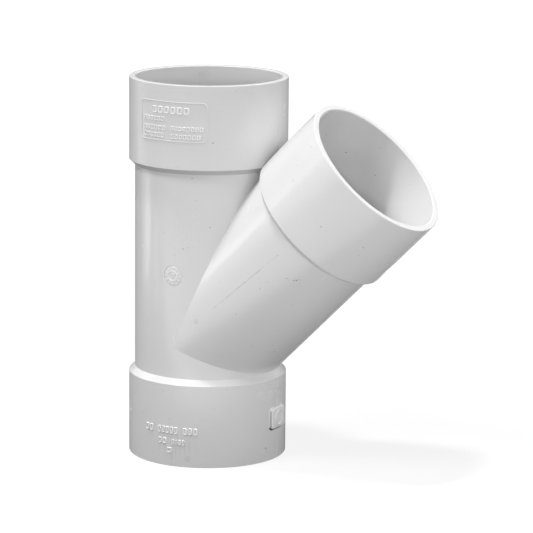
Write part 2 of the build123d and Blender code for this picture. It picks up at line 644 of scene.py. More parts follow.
ARROW_LEAN = math.radians(-20)
ARROW_LINES = [((0, -1.7), (0, 1.6)), ((0, 1.7), (-0.8, 0.7)), ((0, 1.7), (0.8, 0.7))]
ARROW_WIDTH = 0.5 * MM
ARROW_RISE = 0.3 * MM
HUB_RADIUS = 2.35 * MM
HUB_WIDTH = 0.4 * MM
arrow = Matrix.Rotation(ARROW_LEAN, 2)
for start_point, end_point in ARROW_LINES:
    start = arrow @ Vector(start_point) * MM
    end = arrow @ Vector(end_point) * MM
    stroke = [tuple(start.lerp(end, step / 3)) for step in range(4)]
    add_bead(dial, stroke, ARROW_WIDTH, ARROW_RISE, on_dial, closed=False)
add_bead(dial, circle_path((0, 0), HUB_RADIUS, 36), HUB_WIDTH, ARROW_RISE, on_dial)
make_piece(dial, "date_dial")

# %% [markdown]
# ## The gate pad
#
# Plastic entered the mould under the branch. The flat pad kept the gate off the round wall, and the
# ring on it is the edge of the gate. It is a stack of outlines that shrink by a quarter circle, because
# a bevel on a box wouldn't let each band of faces have its own finish: the edge and the ring are
# painted paler as highlight, the flank below the edge darker as shade, and the face a little paler as
# sheen. A fine line round the foot is where the pad's insert met the mould, and it is painted paler as
# highlight.

# %% Pad and ring
PAD_CENTRE = (0.0, 20.2 * MM)
PAD_SIZE = (12.6 * MM, 10.0 * MM)
PAD_CORNER = 1.6 * MM
PAD_PROUD = 1.0 * MM
PAD_EDGE = 0.6 * MM
PAD_EDGE_STEPS = 5
GATE_RING_DIAMETER = 7.6 * MM
GATE_RING_LINE = 0.6 * MM
GATE_RING_RISE = 0.4 * MM
FOOT_LINE = 0.6 * MM
FOOT_RISE = 0.16 * MM
EDGE_SLOT = 1
FLANK_SLOT = 2
PAD_ROOT = 1.0 * MM
pad_face = collar_radius + PAD_PROUD
pad_top = PAD_CENTRE[1] + PAD_SIZE[1] / 2

pad = bmesh.new()
levels = [(0.0, collar_radius - PAD_ROOT)]
for step in range(PAD_EDGE_STEPS + 1):
    turn = math.radians(90) * step / PAD_EDGE_STEPS
    levels.append((PAD_EDGE * (1 - math.cos(turn)), pad_face - PAD_EDGE * (1 - math.sin(turn))))
outlines = []
for inset, reach in levels:
    size = [side - 2 * inset for side in PAD_SIZE]
    path = box_path(PAD_CENTRE, *size, PAD_CORNER - inset, CORNER_STEPS)
    outlines.append([pad.verts.new((reach, across, up)) for across, up in path])
for here, there in zip(outlines, outlines[1:]):
    for vert, face in zip(here, join_rings(pad, here, there)):
        # The low flank gets painted shade, the upper flank and the rounded edge painted highlight.
        in_shade = here is outlines[0] and vert.co.z < pad_top - PAD_CORNER / 2
        face.material_index = FLANK_SLOT if in_shade else EDGE_SLOT
pad.faces.new(reversed(outlines[0]))
pad.faces.new(outlines[-1])


def on_pad(across, up, lift):
    return Vector((pad_face + lift, across, up))


ring_path = circle_path(PAD_CENTRE, (GATE_RING_DIAMETER - GATE_RING_LINE) / 2)
ring_start = len(pad.faces)
add_bead(pad, ring_path, GATE_RING_LINE, GATE_RING_RISE, on_pad)
pad.faces.ensure_lookup_table()
# The ring also gets the paler tone of painted highlight.
for face in pad.faces[ring_start:]:
    face.material_index = EDGE_SLOT
make_piece(pad, "gate_pad")


def on_side(across, up, lift):
    """A flat drawing pushed back along -X until it meets the right side of the lower collar."""
    reach = collar_radius + lift
    return Vector((math.sqrt(reach * reach - across * across), across, up))


foot = bmesh.new()
foot_size = [side + FOOT_LINE for side in PAD_SIZE]
foot_path = box_path(PAD_CENTRE, *foot_size, PAD_CORNER + FOOT_LINE / 2, CORNER_STEPS)
add_bead(foot, foot_path, FOOT_LINE, FOOT_RISE, on_side)
make_piece(foot, "pad_foot_line")

# %% [markdown]
# ## Parting lines
#
# The mould opens along the plane that both axes lie in, and where its halves meet the plastic creeps
# into the joint as a hair of flash. The light that it catches from end to end is painted highlight, a
# slightly paler tone. The ridge follows the leg's own outside, over collar and slope, so it never
# floats. It stops where the plane meets a crease, the gate pad or the scar.

# %% Parting lines on every leg
SEAM_WIDTH = 0.5 * MM
SEAM_RISE = 0.14 * MM
SEAM_SPAN = 3.0 * MM
SEAM_INSET = 0.6 * MM


def leg_reach(length, along):
    """The radius of a leg's outside at a distance from the junction."""
    foot = length - collar_length - slope_length
    share = min(max((along - foot) / slope_length, 0.0), 1.0)
    return tube_radius + (collar_radius - tube_radius) * share


def add_seam(mesh, angle, length, turn, start, end):
    """A ridge along one leg, at a turn about the leg's own axis."""
    place = leg_place(angle, turn)
    shoulder = length - collar_length
    bends = [bend for bend in (shoulder - slope_length, shoulder) if start < bend < end]
    stops = [start, end, *bends]
    path = []
    for low, high in zip(sorted(stops), sorted(stops)[1:]):
        spans = max(1, round((high - low) / SEAM_SPAN))
        path += [(0.0, low + (high - low) * step / spans) for step in range(spans)]
    path.append((0.0, end))

    def land(across, along, lift):
        return place @ Vector((leg_reach(length, along) + lift, across, along))

    add_bead(mesh, path, SEAM_WIDTH, SEAM_RISE, land, closed=False)


crotch_start = collar_radius / math.tan(branch_angle / 2)
heel_start = tube_radius * math.tan(branch_angle / 2)
pad_along = lower_leg - PAD_CENTRE[1]
dimple_along = lower_leg - DIMPLE_SPOT[1]
scar_start = upper_leg - SCAR_FROM_MOUTH - SCAR_LENGTH
upper_end = upper_leg - SEAM_INSET
lower_end = lower_leg - SEAM_INSET
half_turn = math.pi
half_pad = PAD_SIZE[1] / 2

seams = bmesh.new()
for angle, length, turn, start, end in [
    (0.0, upper_leg, 0.0, crotch_start, upper_end),
    (0.0, upper_leg, half_turn, 0.0, upper_end),
    (branch_angle, upper_leg, half_turn, crotch_start, upper_end),
    (branch_angle, upper_leg, 0.0, heel_start, scar_start),
    (branch_angle, upper_leg, 0.0, scar_start + SCAR_LENGTH, upper_end),
    (half_turn, lower_leg, 0.0, 0.0, lower_end),
    (half_turn, lower_leg, half_turn, heel_start, dimple_along - DIMPLE_RADIUS),
    (half_turn, lower_leg, half_turn, dimple_along + DIMPLE_RADIUS, pad_along - half_pad),
    (half_turn, lower_leg, half_turn, pad_along + half_pad, lower_end),
]:
    add_seam(seams, angle, length, turn, start, end)
make_piece(seams, "parting_lines")

# %% [markdown]
# ## Ejector marks
#
# Pins push the moulding off its core and leave flat round witnesses with a dull face. They are shallow
# discs laid over the wall, with a slightly rougher finish of their own.

# %% Discs
DISC_RISE = 0.05 * MM
DISC_RINGS = 4
DISC_STEPS = 40


def add_disc(mesh, radius, land, steps=DISC_STEPS):
    """A shallow domed disc that lies on a surface."""
    centre = mesh.verts.new(land(0.0, 0.0, DISC_RISE))
    last = None
    for ring in range(1, DISC_RINGS + 1):
        share = ring / DISC_RINGS
        lift = DISC_RISE if ring < DISC_RINGS else -DISC_RISE
        ring_points = circle_path((0, 0), radius * share, steps)
        verts = [mesh.verts.new(land(across, up, lift)) for across, up in ring_points]
        for index in range(steps):
            after = (index + 1) % steps
            if last is None:
                mesh.faces.new((centre, verts[index], verts[after]))
            else:
                mesh.faces.new((last[index], verts[index], verts[after], last[after]))
        last = verts
    mesh.faces.new(reversed(last))


def on_leg(angle, length, turn, along, inside=False):
    """Gives the landing function of one spot on a leg, for small flat drawings."""
    place = leg_place(angle)

    def land(across, up, lift):
        reach = socket_radius - lift if inside else leg_reach(length, along + up) + lift
        spot = turn + across / reach
        return place @ Vector((reach * math.cos(spot), reach * math.sin(spot), along + up))

    return land


FOOT_MARK_PLACE = (9.3 * MM, 4.2 * MM)
FOOT_MARK_RADIUS = 1.8 * MM
BRANCH_MARK_TURN = math.radians(-91.4)
BRANCH_MARK_ALONG = 18.7 * MM
BRANCH_MARK_RADIUS = 1.5 * MM


def on_foot_mark(across, up, lift):
    return on_collar(across + FOOT_MARK_PLACE[0], up + FOOT_MARK_PLACE[1], lift)


discs = bmesh.new()
add_disc(discs, FOOT_MARK_RADIUS, on_foot_mark)
on_branch_mark = on_leg(branch_angle, upper_leg, BRANCH_MARK_TURN, BRANCH_MARK_ALONG)
add_disc(discs, BRANCH_MARK_RADIUS, on_branch_mark)
make_piece(discs, "ejector_marks")

# %% [markdown]
# ## A flake of flash
#
# Just inside the branch's mouth hangs a scrap of flash that nobody trimmed. It could be a loose leaf,
# but it lies flat on the wall, so a ridge along a slightly wavy path does.

# %% Flake
FLAKE_STEPS = 12
FLAKE_TURN = math.radians(-179)
FLAKE_FROM_RIM = 1.0 * MM
FLAKE_LENGTH = 9.5 * MM
FLAKE_WAVE = 0.25 * MM
FLAKE_WIDTH = 0.8 * MM
FLAKE_RISE = 0.35 * MM
flake = bmesh.new()
flake_path = [
    (FLAKE_LENGTH * step / FLAKE_STEPS, FLAKE_WAVE * math.sin(step / 3))
    for step in range(FLAKE_STEPS + 1)
]
on_mouth = on_leg(branch_angle, upper_leg, FLAKE_TURN, upper_leg - FLAKE_FROM_RIM, inside=True)
add_bead(flake, flake_path, FLAKE_WIDTH, FLAKE_RISE, on_mouth, closed=False)
make_piece(flake, "mouth_flake")

# %% [markdown]
# ## Burnt specks
#
# Scraps of burnt resin ride along in the melt and end up as dark specks in the skin. Paint would do
# for dust, but these catch light. They are drawn from a seeded generator, so that every render shows
# the same ones, and the largest are listed one by one.

# %% Burnt specks
SPECK_COUNT = 90
SPECK_STEPS = 8
SPECK_SPAN = (0.15, 0.97)
SPECK_RADII = (0.09, 0.2)
SPECK_CLEARANCE = 1 * MM
draw = random.Random(65)


def outside_others(point, own_angle):
    """True when a point lies clear of the legs that it doesn't belong to."""
    for angle, *others in legs.values():
        axis = Vector((math.sin(angle), 0, math.cos(angle)))
        along = (point - junction).dot(axis)
        off = (point - junction - axis * along).length
        if angle != own_angle and along > 0 and off < collar_radius + SPECK_CLEARANCE:
            return False
    return True


specks = bmesh.new()
for index in range(SPECK_COUNT):
    angle, length, *planes = draw.choice(list(legs.values()))
    turn = draw.uniform(-math.pi, math.pi)
    along = draw.uniform(*SPECK_SPAN) * length
    radius = draw.uniform(*SPECK_RADII) * MM
    place = on_leg(angle, length, turn, along)
    if outside_others(place(0, 0, 0), angle):
        add_disc(specks, radius, place, SPECK_STEPS)

# Each is a turn in degrees, a distance from the junction in mm and a radius in mm
BRANCH_SPECKS = [
    (-60.0, 71.0, 0.42), (-61.5, 70.2, 0.3), (-59.0, 72.2, 0.25), (-66.5, 68.6, 0.3),
    (-76.5, 101.5, 0.3), (-43.5, 106.0, 0.3), (-25.0, 30.0, 0.3),
]
MOUTH_SPECKS = [(127.4, 104.7, 0.35), (97.9, 105.6, 0.3), (153.7, 108.4, 0.25), (-178.0, 124.2, 0.4)]
RUN_SPECKS = [(-58.6, 98.6, 0.32), (-81.3, 47.7, 0.3), (-74.3, 81.3, 0.28), (-60.3, 58.3, 0.28)]
FOOT_SPECKS = [(-165.7, 50.4, 0.45)]
for angle, length, inside, spots in [
    (branch_angle, upper_leg, False, BRANCH_SPECKS),
    (branch_angle, upper_leg, True, MOUTH_SPECKS),
    (0.0, upper_leg, False, RUN_SPECKS),
    (half_turn, lower_leg, False, FOOT_SPECKS),
]:
    for turn, along, radius in spots:
        place = on_leg(angle, length, math.radians(turn), along * MM, inside)
        add_disc(specks, radius * MM, place, SPECK_STEPS)
make_piece(specks, "burnt_specks")

# %% [markdown]
# ## Painted shadow under the pad's corner
#
# Under the pad's lower left corner lies a thin line of deep shadow, and it is painted. Paint alone
# would need a mask that finds the corner. A thin dark bead laid along it is simpler and keeps its
# place.

# %% Painted shadow under the pad's corner
PAD_SHADOW_GAP = 0.35 * MM
PAD_SHADOW_WIDTH = 0.8 * MM
PAD_SHADOW_RISE = 0.2 * MM
PAD_SHADOW_STEP = 1.1 * MM
PAD_SHADOW_FROM = math.radians(200)
PAD_SHADOW_TURN = math.radians(70)
corner_across = PAD_CORNER - PAD_SIZE[0] / 2
corner_up = PAD_CENTRE[1] - PAD_SIZE[1] / 2 + PAD_CORNER
shadow_reach = PAD_CORNER + PAD_SHADOW_GAP
shadow_path = arc_path((corner_across, corner_up), shadow_reach, PAD_SHADOW_FROM, PAD_SHADOW_TURN, 6)
for step in range(1, 9):
    shadow_path.append((corner_across + step * PAD_SHADOW_STEP, corner_up - shadow_reach))
# A near-black bead: painted shadow under the pad's corner.
painted_shadow = bmesh.new()
add_bead(painted_shadow, shadow_path, PAD_SHADOW_WIDTH, PAD_SHADOW_RISE, on_side, closed=False)
make_piece(painted_shadow, "pad_shadow_line")

# %% [markdown]
# ## Who carries what
#
# Nothing on the fitting moves, so every piece rides on the one body, "root". The turned body stands
# in for the plain CAD solid, which stays in the file for physics. It has the same form, with a
# rounding on each corner that the solid doesn't need.

# %% Ride and stand in
for piece in all_pieces:
    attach(piece, "root")
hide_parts("branch_fitting")
print("pieces on root", len(all_pieces))

# %% [markdown]
# ## A kit for shader nodes
#
# Every finish below is a formula in the object's own coordinates, in metres, so a scratch stays where
# it is on the moulding whatever looks at it. Node trees read badly as code. So one helper adds any
# node and a second does sums, and the rest are phrases made from those two.

# %% Helpers for shader nodes
def wired(tree, kind, inputs, output=0, **settings):
    """Adds a node, sets or links its inputs and hands back one of its outputs."""
    made = tree.nodes.new("ShaderNode" + kind)
    for name, value in settings.items():
        setattr(made, name, value)
    for name, value in inputs.items():
        if isinstance(value, bpy.types.NodeSocket):
            tree.links.new(value, made.inputs[name])
        else:
            made.inputs[name].default_value = value
    return made.outputs[output]


def reckon(tree, operation, *values):
    """A sum on numbers or sockets."""
    return wired(tree, "Math", dict(enumerate(values)), operation=operation)


def fade(tree, value, low, high, at_low=0.0, at_high=1.0):
    """A soft step from one value to another."""
    ends = {"Value": value, "From Min": low, "From Max": high, "To Min": at_low, "To Max": at_high}
    return wired(tree, "MapRange", ends, interpolation_type="SMOOTHSTEP")


def product(tree, *values):
    """Multiplies any number of sockets."""
    total = values[0]
    for value in values[1:]:
        total = reckon(tree, "MULTIPLY", total, value)
    return total


def noise(tree, place, scale, detail=2.0, distortion=0.0):
    """Soft noise between about 0.25 and 0.75."""
    inputs = {"Vector": place, "Scale": scale, "Detail": detail, "Distortion": distortion}
    return wired(tree, "TexNoise", inputs, output="Fac")


def coordinate(tree, place, axis):
    return wired(tree, "SeparateXYZ", {0: place}, output=axis)


def vector(tree, operation, *values, output=0):
    """A sum on vectors."""
    return wired(tree, "VectorMath", dict(enumerate(values)), output, operation=operation)


def length_of(tree, place):
    return vector(tree, "LENGTH", place, output="Value")


def near_spot(tree, place, centre, size, soft):
    """1 within an ellipsoid and 0 outside it, with a soft edge."""
    share = vector(tree, "DIVIDE", vector(tree, "SUBTRACT", place, centre), size)
    return fade(tree, length_of(tree, share), 1 - soft, 1.0, 1.0, 0.0)


print("pieces that wait for a finish", len(all_pieces))

# %% [markdown]
# ## Specks and hairlines
#
# Burnt specks of dust size lie in the plastic, and hairlines from handling lie on it. Each kind of
# mark is a mask, which is 1 on the mark and 0 beside it. A cell texture gives each speck a size of its
# own. A hairline is the thin band where a slow noise passes its middle value, which wanders as a real
# one does and needs no drawing.

# %% Masks for specks and hairlines
DUST_SCALE = 240.0
DUST_FROM = 0.35
DUST_SMALLEST = 0.02
DUST_RANGE = 0.05
HAIRLINE_NOISE = (15.0, 1.0, 1.2)
HAIRLINE_EDGE = (0.0008, 0.0022)
HAIRLINE_GAPS = (0.62, 0.68)


def speck_mask(tree, place):
    """Dust-sized specks, each with its own size and strength."""
    cells = {"Vector": place, "Scale": DUST_SCALE}
    distance = wired(tree, "TexVoronoi", cells, output="Distance")
    drawn = wired(tree, "TexVoronoi", cells, output="Color")
    share = wired(tree, "SeparateColor", {0: drawn}, output="Red")
    size = wired(tree, "SeparateColor", {0: drawn}, output="Green")
    edge = reckon(tree, "MULTIPLY_ADD", size, DUST_RANGE, DUST_SMALLEST)
    return product(tree, reckon(tree, "LESS_THAN", distance, edge), fade(tree, share, DUST_FROM, 1.0))


def hairline_mask(tree, place):
    """Fine broken lines from handling."""
    off = reckon(tree, "SUBTRACT", noise(tree, place, *HAIRLINE_NOISE), 0.5)
    line = fade(tree, reckon(tree, "ABSOLUTE", off), *HAIRLINE_EDGE, 1.0, 0.0)
    return product(tree, line, fade(tree, noise(tree, place, 70.0), *HAIRLINE_GAPS))


print("dust cells to the metre", DUST_SCALE)

# %% [markdown]
# ## Worn places
#
# Scuffs on the run, drag marks by the foot, brushing over the gate pad, a smudge and a dull patch in
# the upper mouth each keep to one place. A texture over the whole body would spread them everywhere,
# so each is bounded by an ellipsoid. The streaky ones are noise on coordinates that are drawn out
# along the way of the rubbing.

# %% Masks for worn places
ZONES = {
    "scuffs": ((0.007, -0.034, 0.113), (0.014, 0.02, 0.015), 0.7),
    "drags": ((0.001, -0.037, 0.0085), (0.016, 0.012, 0.008), 0.5),
    "brushed": ((0.0365, -0.008, 0.0345), (0.01, 0.013, 0.007), 0.6),
    "dull_inside": ((-0.0196, 0.0286, 0.1775), (0.0045, 0.005, 0.0035), 0.8),
    "smudge": ((-0.010, -0.0335, 0.0865), (0.0013, 0.004, 0.0035), 0.6),
}
STREAKS = {
    "scuffs": ((1.0, 1.0, 2.2), (420.0, 2.0, 1.5), (0.63, 0.69)),
    "drags": ((1.0, 1.0, 0.05), (1300.0, 1.0), (0.52, 0.66)),
    "brushed": ((0.06, 0.06, 1.0), (4000.0, 2.0), (0.5, 0.65)),
}


def worn_masks(tree, place):
    """One mask for each zone, with streaks in those that have them."""
    masks = {name: near_spot(tree, place, *zone) for name, zone in ZONES.items()}
    for name, (stretch, kind, ends) in STREAKS.items():
        streaks = noise(tree, vector(tree, "MULTIPLY", place, stretch), *kind)
        masks[name] = product(tree, masks[name], fade(tree, streaks, *ends))
    return masks


print("worn places", len(ZONES), "of which streaky", len(STREAKS))

# %% [markdown]
# ## One long scratch, and painted shade on the slope
#
# A scratch runs up the front of the branch. A cut would have to follow the round wall, but a mask
# takes only a straight line between two named points, with a wavering width and gaps. The slope under
# the upper collar faces down, and a second mask paints shade on it: it darkens a ring there, bounded
# by height and by distance from the run's axis.

# %% Masks for the scratch and the slope
SCRATCH_START = (0.0215, 0.0, 0.0778)
SCRATCH_END = (0.0555, 0.0, 0.1071)
SCRATCH_LENGTH = math.dist(SCRATCH_START, SCRATCH_END)
SCRATCH_SLOPE = math.atan2(SCRATCH_END[2] - SCRATCH_START[2], SCRATCH_END[0] - SCRATCH_START[0])
SCRATCH_WIDTH = (0.7 * MM, -0.12 * MM)
SCRATCH_GAPS = (0.38, 0.5)
SLOPE_SPARE = 0.1 * MM
print("scratch length in mm", round(SCRATCH_LENGTH / MM, 1))


def scratch_mask(tree, place):
    """A thin line with gaps, on the front only."""
    turned = {"Vector": place, "Location": SCRATCH_START, "Rotation": (0, -SCRATCH_SLOPE, 0)}
    line_place = wired(tree, "Mapping", turned, vector_type="TEXTURE")
    along = coordinate(tree, line_place, "X")
    off = reckon(tree, "ABSOLUTE", coordinate(tree, line_place, "Z"))
    width = reckon(tree, "MULTIPLY_ADD", noise(tree, place, 500.0), *SCRATCH_WIDTH)
    return product(
        tree,
        reckon(tree, "LESS_THAN", off, width),
        reckon(tree, "GREATER_THAN", along, 0.0),
        reckon(tree, "LESS_THAN", along, SCRATCH_LENGTH),
        reckon(tree, "LESS_THAN", coordinate(tree, place, "Y"), 0.0),
        fade(tree, noise(tree, place, 160.0), *SCRATCH_GAPS),
    )


def slope_mask(tree, place):
    """Painted shade on the slope under the upper collar."""
    shoulder = height - collar_length
    upright = coordinate(tree, place, "Z")
    off_axis = length_of(tree, vector(tree, "MULTIPLY", place, (1.0, 1.0, 0.0)))
    return product(
        tree,
        reckon(tree, "GREATER_THAN", upright, shoulder - slope_length + SLOPE_SPARE),
        reckon(tree, "LESS_THAN", upright, shoulder - SLOPE_SPARE / 2),
        reckon(tree, "LESS_THAN", off_axis, collar_radius + SLOPE_SPARE),
        reckon(tree, "GREATER_THAN", off_axis, tube_radius),
    )


# %% [markdown]
# ## The plastic
#
# Rigid PVC comes out of the mould with a soft gloss, pale grey from its chalk and titanium white, with
# faint clouds where the melt cooled at different rates. One table says how much each mask darkens,
# dulls and raises the surface. It drives all three, because a scratch that changes only the colour
# looks printed.

# %% Build the plastic
PLASTIC_TONE = 0.7
PLASTIC_ROUGHNESS = 0.2
BUMP_HEIGHT = 0.04 * MM
CLOUD_SCALE = 26.0
CLOUD_DEPTH = 0.02
DULL_SCALE = 60.0
DULL_SPREAD = 0.08
PEEL_SCALE = 260.0
PEEL_LIFT = 0.05
GRAIN_SCALE = 1500.0
GRAIN_DEPTH = 0.05
GRAIN_LIFT = 0.02
EFFECTS = {
    "specks": (0.42, 0.2, 0.2),
    "scratch": (0.22, 0.3, -0.3),
    "drags": (0.07, 0.0, 0.1),
    "dull_inside": (0.12, 0.2, 0.0),
    "smudge": (0.04, 0.0, 0.0),
    "hairlines": (-0.02, 0.2, -0.05),
    "scuffs": (-0.07, 0.3, 0.25),
    "brushed": (-0.03, 0.15, 0.06),
    # The slope's darkening is painted shade.
    "slope_shade": (0.3, 0.0, 0.0),
}


def plastic_material(name, tone, roughness):
    """Moulded plastic of one tone, with every kind of mark."""
    material = bpy.data.materials.new(name)
    material.use_nodes = True
    tree = material.node_tree
    shader = tree.nodes["Principled BSDF"]
    place = wired(tree, "TexCoord", {}, output="Object")
    masks = {
        "specks": speck_mask(tree, place),
        "hairlines": hairline_mask(tree, place),
        "scratch": scratch_mask(tree, place),
        "slope_shade": slope_mask(tree, place),
        **worn_masks(tree, place),
    }
    clouds = fade(tree, noise(tree, place, CLOUD_SCALE, 3.0), 0.3, 0.7)
    cloudy = reckon(tree, "MULTIPLY_ADD", clouds, CLOUD_DEPTH, 1 - CLOUD_DEPTH / 2)
    grain = noise(tree, place, GRAIN_SCALE)
    grainy = reckon(tree, "MULTIPLY_ADD", grain, -GRAIN_DEPTH, 1 + GRAIN_DEPTH / 2)
    shade = product(tree, cloudy, grainy)
    uneven = noise(tree, place, DULL_SCALE, 4.0)
    dullness = reckon(tree, "MULTIPLY_ADD", uneven, DULL_SPREAD, roughness - DULL_SPREAD / 2)
    peel = reckon(tree, "MULTIPLY", noise(tree, place, PEEL_SCALE), PEEL_LIFT)
    relief = reckon(tree, "MULTIPLY_ADD", grain, GRAIN_LIFT, peel)
    for name_of_mask, (darker, duller, lift) in EFFECTS.items():
        mask = masks[name_of_mask]
        shade = product(tree, shade, reckon(tree, "MULTIPLY_ADD", mask, -darker, 1.0))
        if duller:
            dullness = reckon(tree, "MULTIPLY_ADD", mask, duller, dullness)
        if lift:
            relief = reckon(tree, "MULTIPLY_ADD", mask, lift, relief)
    value = reckon(tree, "MULTIPLY", shade, tone)
    colour = wired(tree, "CombineColor", {"Red": value, "Green": value, "Blue": value})
    bump = wired(tree, "Bump", {"Height": relief, "Strength": 1.0, "Distance": BUMP_HEIGHT})
    tree.links.new(colour, shader.inputs["Base Color"])
    tree.links.new(dullness, shader.inputs["Roughness"])
    tree.links.new(bump, shader.inputs["Normal"])
    print(name, "nodes", len(tree.nodes))
    return material


# %% [markdown]
# ## Shades of the same plastic
#
# Raised marks and the pad's edge are painted paler as highlight, the pad's flank darker as shade, and
# the parting lines and the pad's face a little paler as sheen. Pin marks are duller. All come from the
# same function with another tone and roughness. The gate pad carries three of them, one to each band of
# faces.

# %% Give each piece its finish
MATT = PLASTIC_ROUGHNESS + 0.2
plastic = plastic_material("moulded_plastic", PLASTIC_TONE, PLASTIC_ROUGHNESS)
witness = plastic_material("pin_witness", PLASTIC_TONE * 0.88, MATT)
burnt = plastic_material("burnt_resin", 0.16, MATT)
# Near-black tone for the painted shadow under the pad's corner.
shadow_paint = plastic_material("painted_shadow", 0.05, 0.6)
# Paler tone: painted highlight on raised marks, the pad's edge and ring, and the foot line.
highlight_paint = plastic_material("painted_highlight_plastic", PLASTIC_TONE * 1.25, PLASTIC_ROUGHNESS)
# Darker tone: painted shade on the pad's flank.
shaded = plastic_material("shaded_flank", PLASTIC_TONE * 0.8, MATT)
# Slightly paler tone: painted sheen on the parting lines and the pad's face.
sheen_paint = plastic_material("painted_sheen_plastic", PLASTIC_TONE * 1.1, PLASTIC_ROUGHNESS)
finishes = {
    "ejector_marks": [witness],
    "burnt_specks": [burnt],
    "pad_shadow_line": [shadow_paint],
    "plaque_boxes": [highlight_paint],
    "size_boxes": [highlight_paint],
    "date_dial": [highlight_paint],
    "parting_lines": [sheen_paint],
    "gate_pad": [sheen_paint, highlight_paint, shaded],
    "pad_foot_line": [highlight_paint],
}
for piece in all_pieces:
    for finish in finishes.get(piece.name, [plastic]):
        piece.data.materials.append(finish)

# %% [markdown]
# ## The floor
#
# A product photographer lays a sweep of white paper. Paper that renders white by light alone needs so
# much of it that the fitting would burn out. So the paper is grey for the light that it passes on, and
# a little light of its own makes it white to the eye. What the lamps add on top is what the fitting's
# shadow takes away, so a soft shadow still shows.

# %% Floor
FLOOR_REACH = 4.0
ends = (-FLOOR_REACH, FLOOR_REACH)
floor_data = bpy.data.meshes.new("floor")
floor_data.from_pydata([(x, y, 0) for y in ends for x in ends], [], [(0, 1, 3, 2)])
floor = add_object("floor", floor_data)


def seen_by_eye(tree):
    """1 for rays that show a thing as such, and 0 for the ones that only carry its light around."""
    eye, gloss, glass = [
        wired(tree, "LightPath", {}, output=name)
        for name in ("Is Camera Ray", "Is Glossy Ray", "Is Transmission Ray")
    ]
    return reckon(tree, "MAXIMUM", reckon(tree, "MAXIMUM", eye, gloss), glass)


FLOOR_BOUNCE = 0.2
FLOOR_TONE = 0.18
LIFT_NEAR = 0.8
LIFT_FAR = 1.0
LIFT_SPAN = (0.25, 1.3)
paper = bpy.data.materials.new("floor_paper")
paper.use_nodes = True
tree = paper.node_tree
tree.nodes.remove(tree.nodes["Principled BSDF"])
floor_distance = length_of(tree, wired(tree, "TexCoord", {}, output="Object"))
bounce = wired(tree, "BsdfDiffuse", {"Color": (FLOOR_BOUNCE,) * 3 + (1,)})
tone = wired(tree, "BsdfDiffuse", {"Color": (FLOOR_TONE,) * 3 + (1,)})
lift_strength = fade(tree, floor_distance, *LIFT_SPAN, LIFT_NEAR, LIFT_FAR)
lift = wired(tree, "Emission", {"Color": (1, 1, 1, 1), "Strength": lift_strength})
white = wired(tree, "AddShader", {0: tone, 1: lift})
shown = wired(tree, "MixShader", {0: seen_by_eye(tree), 1: bounce, 2: white})
tree.links.new(shown, tree.nodes["Material Output"].inputs["Surface"])
floor_data.materials.append(paper)
print("floor", 2 * FLOOR_REACH, "m across, shadow down to", LIFT_NEAR)

# %% [markdown]
# ## What the gloss sees
#
# Gloss is a picture of the room. The walls of the fitting mirror the floor a few steps away, and the
# photo shows a dark table round its foot, a white stretch in front and dark floor beyond. Real cards
# would throw light and shadow too, so each is a flat shape that only glossy rays can meet.

# %% Dark table, far floor and flag
TABLE_FRONT = 0.1375
TABLE_RIGHT = 0.5
TABLE_LEFT = 0.43
TABLE_FAR = 2.2
TABLE_LIFT = 0.5 * MM
TABLE_EDGE = [
    (TABLE_RIGHT, 50), (TABLE_FAR, 55), (TABLE_FAR, 85), (TABLE_FAR, 115), (TABLE_FAR, 145),
    (TABLE_FAR, 174), (TABLE_LEFT, 174), (TABLE_LEFT, -166), (1.2, -166), (1.2, -148),
]
FAR_START = 0.62
FAR_LIFT = 0.4 * MM
FLAG_HEIGHT = 0.6
TABLE_GREY = 0.2


def polar(distance, azimuth, z):
    """A point at a distance and a bearing from the run's axis."""
    turn = math.radians(azimuth)
    return (distance * math.cos(turn), distance * math.sin(turn), z)


def strip_of(name, points):
    """A band of quads between points that come in pairs."""
    data = bpy.data.meshes.new(name)
    data.from_pydata(points, [], [(i, i + 1, i + 3, i + 2) for i in range(0, len(points) - 2, 2)])
    return data


front_right = turn_round @ Vector((TABLE_RIGHT, -TABLE_FRONT, TABLE_LIFT))
front_left = turn_round @ Vector((-TABLE_LEFT, -TABLE_FRONT, TABLE_LIFT))
table_edge = [polar(distance, azimuth, TABLE_LIFT) for distance, azimuth in TABLE_EDGE]
table_points = [front_right, *table_edge, front_left]
table_data = bpy.data.meshes.new("dark_table")
table_data.from_pydata(table_points, [], [range(len(table_points))])
far_data = strip_of("far_floor", [
    polar(distance, azimuth, FAR_LIFT)
    for azimuth in range(-160, 57, 18)
    for distance in (FAR_START, TABLE_FAR)
])
flag_data = strip_of("flag", [
    polar(TABLE_FAR, azimuth, z) for azimuth in range(55, 175, 17) for z in (0.0, FLAG_HEIGHT)
])
table_grey = bpy.data.materials.new("table_grey")
table_grey.use_nodes = True
grey_shader = table_grey.node_tree.nodes["Principled BSDF"]
grey_shader.inputs["Base Color"].default_value = (TABLE_GREY,) * 3 + (1,)
grey_shader.inputs["Roughness"].default_value = 1.0


def only_in_gloss(data, material):
    """Stands a shape in the room so that only glossy rays meet it."""
    data.materials.append(material)
    screen = add_object(data.name, data)
    screen.visible_camera = False
    screen.visible_diffuse = False
    screen.visible_transmission = False
    screen.visible_shadow = False
    print(data.name, "faces", len(data.polygons))


for data in (table_data, flag_data, far_data):
    only_in_gloss(data, table_grey)

# %% [markdown]
# ## Two bright panels
#
# Two narrow bright bands stand in the gloss on the left of the run and the collars. They are windows
# or panels in the studio, low on that side. They would light the fitting too, so these are flat shapes
# with a glow that only the gloss can see.

